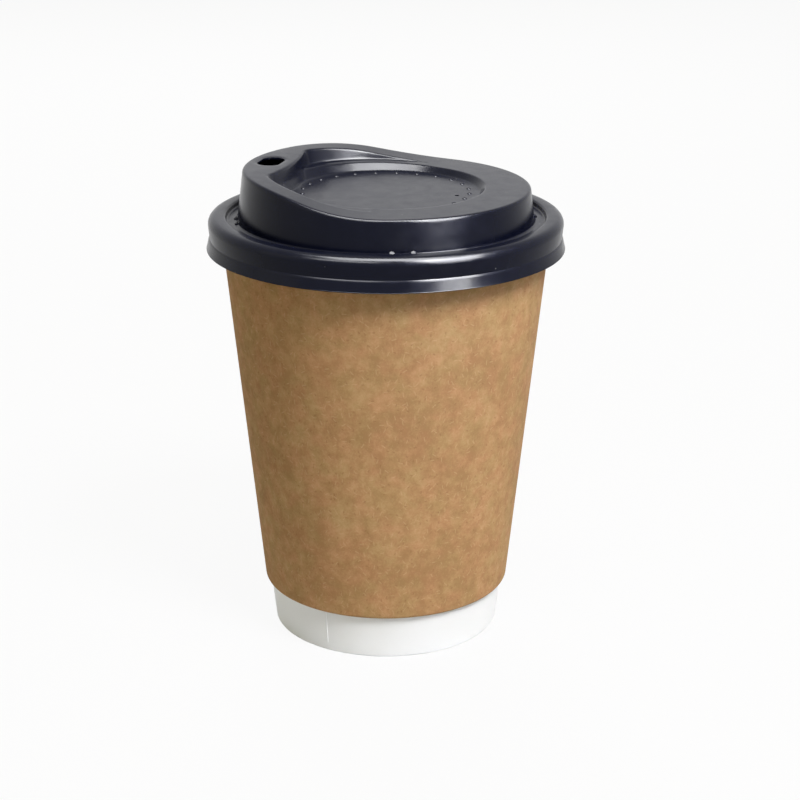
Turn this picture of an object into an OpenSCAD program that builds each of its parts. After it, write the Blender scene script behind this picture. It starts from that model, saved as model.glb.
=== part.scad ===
// Double-wall paper coffee cup with a sip-through lid.
// Z is up, the cup stands on Z = 0 with its axis on the origin, and the drinking side faces -Y.

/* [Cup] */
// Outside diameter over the rolled rim
rim_d = 90; // [86:0.5:96]
// Height from the table to the top of the rolled rim
cup_h = 112; // [96:1:160]
// Outside diameter of the white cup where it stands
foot_d = 60.3; // [54:0.1:66]
// Thickness of the white board
board_t = 0.35; // [0.25:0.01:0.45]
// Outside diameter of the roll that the rim is curled into
rim_roll_d = 3.1; // [2.6:0.05:3.5]
// How far round the roll the board goes, in degrees
rim_roll_turn = 305; // [240:5:310]
// How much the fold under the foot is pressed flat
foot_flat = 0.04; // [0.02:0.01:0.08]
// Width of the glued lap down the side of the white cup
cup_lap_w = 8; // [4:0.5:14]
// How far that lap stands proud, less than a board because it is pressed
cup_lap_step = 0.2; // [0.1:0.01:0.25]
// Direction of the lap's middle, in degrees from +X
cup_lap_angle = -24; // [-180:1:180]

/* [Base disc] */
// Thickness of the base board
base_t = 0.35; // [0.25:0.01:0.45]
// Height of the base disc's underside above the table
base_recess = 6; // [4:0.25:10]
// Outside radius of the bend into the disc's skirt
base_bend_r = 0.8; // [0.6:0.05:1.5]
// How far the skirt stops above the inside of the foot fold
skirt_clear = 0.15; // [0.05:0.05:0.5]
// Glue line between the layers of board
glue_line = 0.03; // [0.02:0.01:0.06]

/* [Outer wrap] */
// Thickness of the brown board
wrap_t = 0.35; // [0.25:0.01:0.5]
// Height of the wrap's bottom edge above the table
wrap_bottom = 12; // [8:0.5:30]
// Air gap between the two walls at the bottom edge
wrap_gap_bottom = 1; // [0.8:0.05:1.5]
// Air gap between the two walls under the rim
wrap_gap_top = 0.3; // [0.26:0.02:0.5]
// Gap between the wrap's top edge and the roll above it
wrap_rim_gap = 0.1; // [0.05:0.05:0.4]
// Width of the glued lap down the back of the wrap
wrap_lap_w = 12; // [6:0.5:18]
// How far that lap stands proud
wrap_lap_step = 0.3; // [0.1:0.01:0.4]
// Direction of the lap's middle, in degrees from +X
wrap_lap_angle = 195; // [0:1:360]

/* [Lid rim] */
// Thickness of the lid's sheet
lid_t = 0.4; // [0.3:0.02:0.5]
// Gap between the rolled rim's top and the lid above it
lid_seat = 0.1; // [0.05:0.05:0.2]
// Gap between the roll and the neck that holds the lid on
neck_gap = 0.25; // [0.15:0.05:0.35]
// Gap between the inside of the cup and the lid's plug
plug_gap = 0.18; // [0.1:0.02:0.4]
// How far the bead over the roll swells past the neck
bead_swell = 0.35; // [0.2:0.05:0.6]
// Outside radius of the bead's outer corner
bead_r = 1.8; // [1.4:0.1:2.2]
// Outside radius of the bead's inner corner
plug_r = 0.9; // [0.7:0.05:1.1]
// How far the lip flares past the neck
lip_flare = 0.85; // [0.4:0.05:1.5]
// Height of the neck above the lip's bottom edge
neck_h = 4.3; // [3.9:0.1:4.7]
// Height of the lip's straight part
lip_h = 2.6; // [2:0.1:3]
// Depth from the top of the bead to the lip's bottom edge
skirt_depth = 8.6; // [8.1:0.1:9.5]
// Depth of the gutter's floor below the end of the bead's inner corner
gutter_drop = 0.6; // [0.5:0.05:1.3]
// Width of the gutter between the plug and the dome
gutter_w = 2.9; // [2.4:0.1:4]
// Radius of the bend from the plug into the gutter
gutter_bend_r = 0.45; // [0.3:0.05:0.55]
// Radius of the bend from the gutter into the dome
dome_bend_r = 0.8; // [0.5:0.05:1.2]

/* [Lid dome] */
// Height of the flat far side above the bead
far_rise = 7.1; // [5:0.1:10]
// Height of the drinking side above the bead
sip_rise = 11.8; // [10.5:0.1:15]
// Draft of the dome's wall, in degrees
dome_draft = 7; // [3:0.5:12]
// Where the ridge begins to rise, measured from the axis away from the drinking side
ramp_start = 9; // [4:0.5:14]
// Where the ridge is at its full height, measured from the axis to the drinking side
ramp_end = 33; // [27:0.5:34]

/* [Lid pocket] */
// Width of the ridge at the drinking side's height
ridge_w = 5.4; // [4:0.2:6.5]
// Draft of the ridge's inner wall, in degrees
ridge_draft = 24; // [10:1:30]
// How far the shelf inside the ridge climbs to the ledge
shelf_rise = 0.8; // [0.5:0.1:2]
// Distance from the axis to the edge of the ledge with the hole
ledge_edge = 25.25; // [23.5:0.25:26]
// Radius of the ledge's edge, which bows towards the middle
ledge_bow_r = 80; // [60:5:200]
// Draft of the ledge's wall above the shelf, in degrees
ledge_draft = 12; // [5:1:18]
// Draft of the ledge's wall below the shelf, in degrees
ledge_foot_draft = 25; // [15:1:30]
// Radius of the round recess's floor
recess_r = 24.2; // [22.4:0.2:24.8]
// Depth of the recess below the flat far side
recess_depth = 1.5; // [1:0.1:2.2]
// Slope of the recess's wall from upright, in degrees
recess_draft = 45; // [20:5:55]

/* [Lid holes and bumps] */
// Length of the drinking hole
sip_l = 10; // [8:0.25:12]
// Width of the drinking hole
sip_w = 6; // [4.6:0.1:6.4]
// Distance from the axis to the middle of the drinking hole
sip_at = 31; // [30:0.25:31.5]
// Diameter of the vent hole
vent_d = 1.2; // [0.8:0.1:1.6]
// Distance from the axis to the vent hole
vent_at = 18.8; // [12:0.2:19.2]
// Number of raised dots round the recess's floor
dot_count = 24; // [6:1:30]
// Radius that the dots are domed to
dot_r = 0.8; // [0.7:0.05:1]
// Height of a dot
dot_h = 0.3; // [0.2:0.05:0.35]
// Distance from the axis to the dots
dot_at = 21.6; // [20.8:0.1:21.8]
// Number of pairs of stacking lugs round the dome's foot
lug_pairs = 4; // [2:1:8]
// Radius of a stacking lug
lug_r = 0.9; // [0.7:0.05:1.1]
// Height of a lug's middle above the gutter's floor
lug_rise = 0.3; // [0.2:0.05:0.5]
// How far a lug's hollow opens past the inside of the dome's foot
lug_open = 0.1; // [0.08:0.02:0.2]
// Angle between the two lugs of a pair
lug_spread = 8; // [5:1:20]
// Direction of the first pair, in degrees from +X
lug_angle = -69; // [-90:1:90]

/* [Hidden] */

$fn = 128;
bend_steps = 8;       // straight steps in a quarter turn of board or sheet
ramp_steps = 8;       // straight steps in each half of the ridge's climb
past = 1;             // how far a cut runs past the solid that it opens

// Inner cup: the line of its outer face leans out from the foot and is tangent to the inside of the roll
rim_r = rim_d / 2;
roll_r = rim_roll_d / 2;
roll_at = [rim_r - roll_r, cup_h - roll_r];
foot_to_roll = roll_at - [foot_d / 2, 0];
lean = atan2(foot_to_roll[0], foot_to_roll[1]) - asin((roll_r - board_t) / norm(foot_to_roll));
function cup_r(z) = foot_d / 2 + z * tan(lean);

// Foot: three layers of board, folded round the base disc's skirt
fold_r = (2 * board_t + base_t + 2 * glue_line) / 2;
fold_at = [cup_r(fold_r - foot_flat - fold_r * sin(lean)) - fold_r * cos(lean), fold_r - foot_flat];
flap_top = base_recess - base_bend_r - glue_line;

// Outer wrap: a second cone, wider by the air gap, curled in at its bottom edge
wrap_top = cup_h - rim_roll_d - wrap_rim_gap;
wrap_in_bottom = cup_r(wrap_bottom) + wrap_gap_bottom;
wrap_in_top = cup_r(wrap_top) + wrap_gap_top;
wrap_lean = atan2(wrap_in_top - wrap_in_bottom, wrap_top - wrap_bottom);
curl_r = wrap_gap_bottom + wrap_t - cup_lap_step - glue_line;
function wrap_r(z) = wrap_in_bottom + wrap_t / cos(wrap_lean) + (z - wrap_bottom) * tan(wrap_lean);
curl_meets_wall = wrap_bottom + curl_r * (1 - sin(wrap_lean));
curl_at = [wrap_r(curl_meets_wall) - curl_r * cos(wrap_lean), wrap_bottom + curl_r];

// Lid heights and radii, all from the rim that it sits on
bead_top = cup_h + lid_seat + lid_t;
lip_z = bead_top - skirt_depth;
gutter_z = bead_top - plug_r - gutter_drop;
far_top = bead_top + far_rise;
sip_top = bead_top + sip_rise;
neck_r = rim_r + neck_gap + lid_t;
lid_bead_r = neck_r + bead_swell;
lip_r = neck_r + lip_flare;
plug_out_r = cup_r(roll_at[1]) - board_t - plug_gap - lid_t;
dome_foot_r = plug_out_r - gutter_w;
function dome_r(z) = dome_foot_r - (z - gutter_z) * tan(dome_draft);

// Points on an arc about c, from angle a to angle b
function arc(c, r, a, b) =
    let (n = max(2, ceil(abs(b - a) / 90 * bend_steps)))
    [for (i = [0:n]) let (t = a + (b - a) * i / n) c + r * [cos(t), sin(t)]];

// The points of a path moved to its left by d, square to the path at its ends and mitred between
function unit(v) = v / norm(v);
function left_of(v) = [-v[1], v[0]];
function shifted(path, d) =
    [for (i = [0:len(path) - 1])
        let (before = unit(path[max(i, 1)] - path[max(i, 1) - 1]),
             after = unit(path[min(i + 1, len(path) - 1)] - path[min(i + 1, len(path) - 1) - 1]),
             mitre = unit(left_of(before) + left_of(after)))
        path[i] + mitre * d / (mitre * left_of(after))];
function reversed(path) = [for (i = [len(path) - 1:-1:0]) path[i]];

// Section of a sheet of thickness t whose visible face follows the path, with the sheet to its left
module sheet(path, t) {
    polygon(concat(path, reversed(shifted(path, t))));
}

// A lap: a strip of a cone's wall from foot to top, each [radius, height], w wide at its foot.
// It stands proud of the wall by step and is rooted in it by depth.
module lap(foot, top, w, angle, step, depth) {
    spread = w / foot[0] * 180 / PI;
    rotate([0, 0, angle - spread / 2])
        rotate_extrude(angle = spread)
            polygon([foot - [depth, 0], foot + [step, 0], top + [step, 0], top - [depth, 0]]);
}

// White board: flap, foot fold, wall and rolled rim in one path
cup_path = concat(
    [fold_at + fold_r * [-cos(lean), sin(lean)] + (flap_top - fold_at[1]) * [tan(lean), 1]],
    arc(fold_at, fold_r, 180 - lean, 360 - lean),
    arc(roll_at, roll_r - board_t, 180 - lean, 180 - lean - rim_roll_turn));

module inner_cup() color("white") {
    lap_foot = 2 * fold_r;
    intersection() {
        rotate_extrude() sheet(cup_path, board_t);
        cylinder(h = cup_h + past, r = rim_r + past);
    }
    lap([cup_r(lap_foot), lap_foot], [cup_r(wrap_top), wrap_top],
        cup_lap_w, cup_lap_angle, cup_lap_step, board_t / 2);
}

// Base board: a disc whose edge is turned down into the foot fold
skirt_foot = fold_at[1] + skirt_clear;
function skirt_r(z) = cup_r(z) - (board_t + glue_line) / cos(lean);
base_top = base_recess + base_t;
bend_meets_skirt = base_top - base_bend_r * (1 + sin(lean));
base_bend_at = [skirt_r(bend_meets_skirt) - base_bend_r * cos(lean), base_top - base_bend_r];
base_path = concat(
    [[skirt_r(skirt_foot), skirt_foot]],
    arc(base_bend_at, base_bend_r, -lean, 90),
    [[0, base_top]]);

module base_disc() color("whitesmoke")
    rotate_extrude() sheet(base_path, base_t);

// Brown board: the curl at the bottom edge and the wall
wrap_path = concat(
    arc(curl_at, curl_r, -90, -wrap_lean),
    [[wrap_r(wrap_top), wrap_top]]);

module outer_wrap() color("peru") {
    lap_foot = wrap_bottom + curl_r;
    intersection() {
        rotate_extrude() sheet(wrap_path, wrap_t);
        cylinder(h = wrap_top, r = rim_r);
    }
    lap([wrap_r(lap_foot), lap_foot], [wrap_r(wrap_top), wrap_top],
        wrap_lap_w, wrap_lap_angle, wrap_lap_step, wrap_t / 2);
}

// Lid: its outer face from just below the lip, over the bead and the gutter, to the dome's wall
plug_bend_at = [plug_out_r + plug_r, bead_top - plug_r];
gutter_bend_at = [plug_out_r - gutter_bend_r, gutter_z + gutter_bend_r];
dome_bend_at = [dome_r(gutter_z + dome_bend_r * (1 - sin(dome_draft))) + dome_bend_r * cos(dome_draft),
                gutter_z + dome_bend_r];
lid_path = concat(
    [[lip_r, lip_z - past], [lip_r, lip_z + lip_h], [neck_r, lip_z + neck_h]],
    arc([lid_bead_r - bead_r, bead_top - bead_r], bead_r, 0, 90),
    arc(plug_bend_at, plug_r, 90, 180),
    arc(gutter_bend_at, gutter_bend_r, 0, -90),
    arc(dome_bend_at, dome_bend_r, -90, dome_draft - 180),
    [[dome_r(sip_top + past), sip_top + past]]);

// Height of the dome's top at a distance u towards the drinking side: two equal arcs joined halfway
ramp_l = (ramp_end + ramp_start) / 2;
ramp_h = (sip_top - far_top) / 2;
ramp_r = (ramp_l * ramp_l + ramp_h * ramp_h) / (2 * ramp_h);
function ramp_drop(d) = ramp_r - sqrt(ramp_r * ramp_r - d * d);
ramp_step = ramp_l / ramp_steps;
ramp_line = concat(
    [for (i = [0:ramp_steps]) [i * ramp_step - ramp_start, far_top + ramp_drop(i * ramp_step)]],
    [for (i = [ramp_steps - 1:-1:0]) [ramp_end - i * ramp_step, sip_top - ramp_drop(i * ramp_step)]]);

// A prism across the lid, drawn from its side with the drinking side to the right
module across(side_view) {
    rotate([90, 0, -90])
        linear_extrude(height = rim_d + 2 * past, center = true) polygon(side_view);
}

// Everything above the dome's top, lowered by t
module above_dome(t) {
    sky = sip_top + 2 * past + t;
    translate([0, 0, -t])
        across(concat([[-rim_r, sky], [-rim_r, far_top]], ramp_line, [[rim_r, sip_top], [rim_r, sky]]));
}

// Radius at height z of a wall through radius r at height z0 that widens upwards, moved outwards by t
function wall_r(r, z0, draft, z, t) = r + (z - z0) * tan(draft) + t / cos(draft);

// A pocket or a block with such a wall, from z0 up to z1
module flared(r, at_z, draft, z0, z1, t) {
    translate([0, 0, z0])
        cylinder(h = z1 - z0, r1 = wall_r(r, at_z, draft, z0, t), r2 = wall_r(r, at_z, draft, z1, t));
}

// The hollow between the ridge and the ledge, with the round recess in its floor, grown by t
recess_z = far_top - recess_depth;
ledge_foot_z = far_top + shelf_rise;
module pocket(t) {
    sky = sip_top + past;
    difference() {
        union() {
            intersection() {
                flared(dome_r(sip_top) - ridge_w, sip_top, ridge_draft, recess_z, sky, t);
                translate([0, 0, -t])
                    across([[-ramp_start, far_top], [ledge_edge, ledge_foot_z], [rim_r, ledge_foot_z],
                            [rim_r, sky + 2 * t], [-ramp_start, sky + 2 * t]]);
            }
            flared(recess_r, recess_z, recess_draft, recess_z - t, ledge_foot_z, t);
        }
        translate([0, -ledge_edge - ledge_bow_r, 0]) {
            flared(ledge_bow_r, sip_top, -ledge_draft, ledge_foot_z, sky + past, -t);
            flared(wall_r(ledge_bow_r, sip_top, -ledge_draft, ledge_foot_z, 0), ledge_foot_z,
                   -ledge_foot_draft, recess_z - past, ledge_foot_z, -t);
        }
    }
}

// Raised dots on the recess's floor
module dots(t) {
    for (i = [0:dot_count - 1])
        rotate([0, 0, 360 * (i + 0.5) / dot_count - 90])
            translate([dot_at, 0, recess_z + dot_h - dot_r])
                sphere(r = dot_r - t, $fn = 32);
}

// Lugs in the gutter that keep stacked lids from jamming, each hollow on the inside of the sheet
lug_at = dome_foot_r - lid_t - lug_open + (lug_r - lid_t);
module lugs(t) {
    for (i = [0:lug_pairs - 1], side = [-1, 1])
        rotate([0, 0, lug_angle + 360 * i / lug_pairs + side * lug_spread / 2])
            translate([lug_at, 0, gutter_z + lug_rise])
                sphere(r = lug_r - t, $fn = 32);
}

// The lid as a solid whose skin is moved in by t
module lid_form(t) {
    difference() {
        rotate_extrude()
            polygon(concat(shifted(lid_path, t), [[0, sip_top + past], [0, lip_z - past]]));
        above_dome(t);
        pocket(t);
    }
    dots(t);
    lugs(t);
}

// The drinking hole: a slot with round ends across the ledge
module sip_hole() {
    linear_extrude(height = sip_top - ledge_foot_z + past) {
        square([sip_l - sip_w, sip_w], center = true);
        for (side = [-1, 1]) translate([side * (sip_l - sip_w) / 2, 0]) circle(d = sip_w);
    }
}

// The skin, trimmed level at the lip's bottom edge, with its two holes
module lid() color("#14161f")
    difference() {
        lid_form(0);
        lid_form(lid_t);
        translate([0, 0, lip_z - 2 * past]) cylinder(h = 2 * past, r = lip_r + past);
        translate([0, -sip_at, ledge_foot_z]) sip_hole();
        translate([0, vent_at, recess_z - past]) cylinder(h = 2 * past, d = vent_d);
    }

inner_cup();
base_disc();
outer_wrap();
lid();
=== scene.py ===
"""A double-wall paper coffee cup and its sip-through lid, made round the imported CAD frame."""
import math

import bmesh
import bpy
from mathutils import Matrix, Vector


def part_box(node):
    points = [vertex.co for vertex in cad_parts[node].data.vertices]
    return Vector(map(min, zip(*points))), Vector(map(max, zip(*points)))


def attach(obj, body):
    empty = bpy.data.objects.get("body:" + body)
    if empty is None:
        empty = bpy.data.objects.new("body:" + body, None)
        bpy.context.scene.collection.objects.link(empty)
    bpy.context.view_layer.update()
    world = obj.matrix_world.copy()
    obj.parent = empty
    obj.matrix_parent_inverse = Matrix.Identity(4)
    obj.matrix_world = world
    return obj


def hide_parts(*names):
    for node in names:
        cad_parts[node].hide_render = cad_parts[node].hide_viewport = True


bl_info = {
    "name": "Paper coffee cup",
    "version": (1, 0, 0),
    "blender": (4, 5, 0),
    "location": "3D View > Sidebar > Coffee Cup",
    "description": "Makes a double-wall paper cup and its sip-through lid round the packed frame",
    "category": "Mesh",
}

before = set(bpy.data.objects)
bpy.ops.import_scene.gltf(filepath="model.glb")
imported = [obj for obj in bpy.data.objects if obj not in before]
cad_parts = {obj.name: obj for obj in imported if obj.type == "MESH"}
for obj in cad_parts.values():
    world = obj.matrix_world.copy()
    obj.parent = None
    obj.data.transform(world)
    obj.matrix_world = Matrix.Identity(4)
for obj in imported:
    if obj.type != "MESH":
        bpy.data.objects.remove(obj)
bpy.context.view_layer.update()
cup_low, cup_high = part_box("inner_cup")
wrap_low, wrap_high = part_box("outer_wrap")
_, base_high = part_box("base_disc")
lid_low, lid_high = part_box("lid")

MM = 0.001
# Direction of the drinking side
SIP_ANGLE = math.radians(-90)

# Divisions round the axis, of the cup's pieces and of the lid
TURN_STEPS = 360
LID_STEPS = 280
# Closer sections on each side of a lug's middle, and how far they reach in lug radii
LUG_STEPS = 6
LUG_REACH = 1.15
# Longest stretch of the lid's section where the lugs are pressed in
LUG_STRETCH = 0.25 * MM
# Divisions of a plain wall, and its distance from the nearest bend
WALL_STEPS = 24
WALL_FROM_BEND = 2 * MM
# Points of a dome section. They are spread by length, to which a bend adds this much for each radian, and of
# which the recess's plain floor counts this share
DOME_POINTS = 66
BEND_COST = 0.9 * MM
FLOOR_COST = 0.3
# Rounds in which the point where a wall meets a surface is found
SETTLE_ROUNDS = 30
# Most of an edge that one rounding may take, and the half angle from which a corner is straight
ROUNDING_SHARE = 0.48
STRAIGHT = math.radians(89.9)
# Height over which a glued lap grows out of its wall
LAP_RISE = 2 * MM
# Points this close are merged, and steps this low are left out
MERGE = 0.0005 * MM
TINY = 0.02 * MM
# Edges that bend more than this show as creases
CREASE = math.radians(35)
# Distance from the lamps to the middle of the cup
LAMP_DISTANCE = 1.1


def length(name, description, millimetres):
    """A size in metres, written in millimetres."""
    return bpy.props.FloatProperty(name=name, description=description, default=millimetres * MM,
                                   unit="LENGTH", precision=5)


def degrees(name, description, value):
    """An angle, written in degrees."""
    return bpy.props.FloatProperty(name=name, description=description, default=math.radians(value),
                                   subtype="ANGLE")


def share(name, description, value):
    """A number from 0 to 1."""
    return bpy.props.FloatProperty(name=name, description=description, default=value, min=0, max=1,
                                   subtype="FACTOR")


def number(name, description, value, unit="NONE"):
    """A plain number, or one with a unit."""
    return bpy.props.FloatProperty(name=name, description=description, default=value, min=0, unit=unit)


def whole_number(name, description, value):
    """A number of things."""
    return bpy.props.IntProperty(name=name, description=description, default=value, min=0)


def colour(name, description, red, green, blue):
    """A linear colour."""
    return bpy.props.FloatVectorProperty(name=name, description=description, default=(red, green, blue),
                                         size=3, min=0, max=1, subtype="COLOR")


class CupSizes(bpy.types.PropertyGroup):
    """Sizes of the two walls and the base."""
    foot_r: length("Foot radius", "Outside radius of the white cup where it stands", 30.15)
    board_t: length("White board", "Thickness of the white board", 0.35)
    base_t: length("Base board", "Thickness of the base board", 0.35)
    glue_line: length("Glue line", "Gap between glued layers of board", 0.03)
    roll_r: length("Rim roll", "Outside radius of the roll at the rim", 1.55)
    roll_turn: degrees("Roll turn", "How far round the roll the board goes", 305)
    foot_flat: length("Foot flat", "How much the fold under the foot is pressed flat", 0.04)
    base_bend_r: length("Base bend", "Outside radius of the bend into the base's skirt", 0.8)
    skirt_clear: length("Skirt clearance", "How far the skirt stops above the inside of the fold", 0.15)
    cup_lap_w: length("White lap", "Width of the glued lap down the white cup", 8)
    cup_lap_step: length("White lap step", "How far that lap stands proud", 0.2)
    cup_lap_angle: degrees("White lap place", "Direction of that lap's middle", -24)
    wrap_t: length("Brown board", "Thickness of the brown board", 0.35)
    gap_bottom: length("Gap at the bottom", "Air gap between the walls at the wrap's bottom edge", 1)
    gap_top: length("Gap at the top", "Air gap between the walls under the rim", 0.3)
    wrap_lap_w: length("Brown lap", "Width of the glued lap down the wrap", 12)
    wrap_lap_step: length("Brown lap step", "How far that lap stands proud", 0.3)
    wrap_lap_angle: degrees("Brown lap place", "Direction of that lap's middle", 195)


class LidSizes(bpy.types.PropertyGroup):
    """Sizes of the lid, all of its visible face."""
    sheet_t: length("Sheet", "Thickness of the lid's sheet", 0.4)
    edge_r: length("Lip edge", "Radius of the lip's cut edge", 0.1)
    lip_h: length("Lip height", "Height of the lip's straight part", 2.33)
    lip_lean: degrees("Lip lean", "How far the lip leans outwards, from upright", 12)
    lip_turn: length("Lip turn-out", "How far the lip's bottom edge turns outwards", 0.05)
    lip_turn_r: length("Lip turn-out bend", "Radius of the bend over that edge", 0.2)
    shoulder_r: length("Shoulder", "Radius of the shoulder between the lip and the neck", 1.8)
    neck_r: length("Neck radius", "Radius of the neck that holds the lid on", 45.65)
    neck_bend_r: length("Neck bend", "Radius of the bend from the shoulder into the neck", 0.3)
    bead_top: length("Bead top", "Height of the bead over the rim", 112.5)
    bead_swell: length("Bead swell", "How far the bead swells past the neck", 0.35)
    bead_r: length("Bead corner", "Radius of the bead's outer corner", 2.1)
    plug_r: length("Plug corner", "Radius of the bead's inner corner", 0.9)
    plug_at: length("Plug", "Radius of the wall that goes down inside the rim", 41.31)
    gutter_drop: length("Gutter depth", "Depth of the gutter's floor below the inner corner", 0.6)
    gutter_w: length("Gutter width", "Width of the gutter", 2.9)
    gutter_bend_r: length("Gutter bend", "Radius of the bend into the gutter", 0.45)
    dome_bend_r: length("Dome bend", "Radius of the bend from the gutter into the dome", 0.8)
    dome_draft: degrees("Dome draft", "Draft of the dome's wall", 7)
    far_rise: length("Far rise", "Height of the flat far side above the bead", 7.1)
    ramp_start: length("Ramp start", "Where the ridge begins to climb, away from the drinking side", 9)
    ramp_end: length("Ramp end", "Where the ridge is at its full height", 33)
    ridge_w: length("Ridge width", "Width of the ridge at the drinking side's height", 5.4)
    ridge_draft: degrees("Ridge draft", "Draft of the ridge's inner wall", 24)
    shelf_rise: length("Shelf rise", "How far the shelf inside the ridge climbs", 0.8)
    ledge_edge: length("Ledge edge", "Distance from the axis to the ledge's edge", 25.25)
    ledge_bow_r: length("Ledge bow", "Radius that the ledge's edge bows to", 80)
    ledge_draft: degrees("Ledge draft", "Draft of the ledge's wall above the shelf", 12)
    ledge_foot_draft: degrees("Ledge foot draft", "Draft of the ledge's wall below the shelf", 25)
    recess_r: length("Recess", "Radius of the recess's floor", 24.2)
    recess_depth: length("Recess depth", "Depth of the recess below the far side", 1.5)
    recess_draft: degrees("Recess draft", "Slope of the recess's wall from upright", 45)
    blend_w: length("Corner blend", "Width over which the ledge's edge turns into the ridge's", 1.4)
    brow_r: length("Outer edge", "Radius of the dome's top edge", 0.7)
    crest_r: length("Inner edge", "Radius of the pocket's top edge", 0.55)
    crease_r: length("Inner bends", "Radius of the bends inside the pocket", 0.6)
    sip_l: length("Hole length", "Length of the drinking hole", 10)
    sip_w: length("Hole width", "Width of the drinking hole", 6)
    sip_at: length("Hole place", "Distance from the axis to the drinking hole", 31)
    sip_dip: length("Hole dip", "How far the sheet dips at the hole's edge", 0.22)
    sip_dip_w: length("Hole dip width", "Width of the dip round the hole", 0.9)
    vent_r: length("Vent", "Radius of the vent hole", 0.6)
    vent_at: length("Vent place", "Distance from the axis to the vent hole", 18.8)
    dot_r: length("Dot radius", "Radius that a dot is domed to", 0.8)
    dot_h: length("Dot height", "Height of a dot", 0.3)
    dot_at: length("Dot ring", "Distance from the axis to the dots", 21.6)
    dot_count: whole_number("Dots", "Number of dots in the recess", 24)
    lug_r: length("Lug radius", "Radius of a stacking lug", 0.9)
    lug_at: length("Lug ring", "Distance from the axis to the lugs", 38.41)
    lug_rise: length("Lug height", "Height of a lug's middle above the gutter's floor", 0.3)
    lug_pairs: whole_number("Lug pairs", "Number of pairs of lugs", 4)
    lug_spread: degrees("Lug spread", "Angle between the two lugs of a pair", 8)
    lug_angle: degrees("Lug place", "Direction of the first pair", -69)


class Finishes(bpy.types.PropertyGroup):
    """Colours and gloss of the materials."""
    kraft: colour("Brown board", "Middle tone of the brown board", 0.41, 0.231, 0.103)
    kraft_light: colour("Brown board, light", "Light tone and fibres", 0.56, 0.36, 0.19)
    kraft_dark: colour("Brown board, dark", "Dark tone and specks", 0.24, 0.12, 0.046)
    kraft_gloss: share("Brown board gloss", "Specular level of the brown board", 0.1)
    white: colour("White board", "Coated white board", 0.87, 0.88, 0.935)
    white_warm: colour("White board, warm", "Board's own tone under its coating", 0.855, 0.86, 0.875)
    white_gloss: share("White board gloss", "Specular level of the white board", 0.4)
    plastic: colour("Lid", "Lid's plastic", 0.0022, 0.003, 0.0105)
    plastic_rough: share("Lid roughness", "Roughness of the lid's plastic", 0.21)
    plastic_gloss: share("Lid gloss", "Specular level of the lid's plastic", 0.11)
    dust: colour("Dust", "Specks of dust on the lid", 0.4, 0.4, 0.42)


class StageSettings(bpy.types.PropertyGroup):
    """Camera, lamps and floor."""
    distance: length("Camera distance", "Distance from the camera to the middle of the cup", 530)
    aim_height: length("Camera aim", "Height that the camera is set out from", 55)
    azimuth: degrees("Camera direction", "Direction from the cup to the camera", 15)
    elevation: degrees("Camera elevation", "Height of the camera above the level", 19.756)
    pan: degrees("Camera pan", "Turn to the left from the aim", -0.407)
    tilt: degrees("Camera tilt", "Turn upwards from the aim", 0.62)
    roll: degrees("Camera roll", "Turn about the line of sight", -0.009)
    lens: number("Lens", "Focal length on a 36 mm sensor", 88.85, unit="CAMERA")
    ambient: colour("Ambient", "Light from all round", 0.22, 0.212, 0.11)
    floor: colour("Floor", "Colour of the floor", 0.4, 0.4, 0.41)
    floor_white: share("Floor's white", "How much of the floor's look is plain white", 0.93)
    key: number("Key lamp", "Power of the main lamp", 14.1, unit="POWER")
    fill: number("Fill lamp", "Power of the lamp on the left", 0.5, unit="POWER")
    fill_tint: colour("Fill lamp's colour", "Colour of the lamp on the left", 1, 0.9, 0.5)
    top: number("Top lamp", "Power of the lamp overhead", 3.5, unit="POWER")
    back: number("Back lamp", "Power of the lamp behind", 8, unit="POWER")
    gloss: number("Gloss cards", "Strength of the cards that show in the gloss", 1)


# Sections: lists of (radius, height) points

def at_angle(angle):
    """Unit vector at an angle in a plane."""
    return Vector((math.cos(angle), math.sin(angle)))


def heights(start, end, steps):
    """Evenly spaced values from start to end."""
    return [start + (end - start) * i / steps for i in range(steps + 1)]


def arc(centre, radius, start, end, steps):
    """Points of an arc from angle start to angle end."""
    return [centre + radius * at_angle(angle) for angle in heights(start, end, steps)]


def rounded(corners, steps):
    """A path through corners, each (point, radius), with an arc at every corner but the two ends."""
    path = [corners[0][0]]
    for (before, _), (corner, radius), (after, _) in zip(corners, corners[1:], corners[2:]):
        back, ahead = before - corner, after - corner
        half = back.angle(ahead) / 2
        if radius == 0 or half > STRAIGHT:
            path.append(corner)
            continue
        reach = min(radius / math.tan(half), ROUNDING_SHARE * back.length, ROUNDING_SHARE * ahead.length)
        middle = corner + (back.normalized() + ahead.normalized()).normalized() * reach / math.cos(half)
        start = corner + back.normalized() * reach - middle
        sweep = start.angle_signed(corner + ahead.normalized() * reach - middle)
        path += [middle + Matrix.Rotation(-sweep * i / steps, 2) @ start for i in range(steps + 1)]
    return path + [corners[-1][0]]


def shifted(path, thickness):
    """The path moved to its left, mitred at its corners."""
    def left_of(a, b):
        along = (b - a).normalized()
        return Vector((-along.y, along.x))
    moved = []
    for i, point in enumerate(path):
        before = left_of(path[max(i - 1, 0)], path[max(i, 1)])
        after = left_of(path[min(i, len(path) - 2)], path[min(i + 1, len(path) - 1)])
        mitre = (before + after).normalized()
        moved.append(point + mitre * thickness / mitre.dot(after))
    return moved


def sheet(path, thickness):
    """Closed section of a sheet whose visible face follows the path."""
    return path + shifted(path, thickness)[::-1]


def divided(path, longest):
    """The path with its long stretches cut into shorter ones."""
    points = [path[0]]
    for a, b in zip(path, path[1:]):
        pieces = math.ceil((b - a).length / longest)
        points += [a.lerp(b, (i + 1) / pieces) for i in range(pieces)]
    return points


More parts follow.
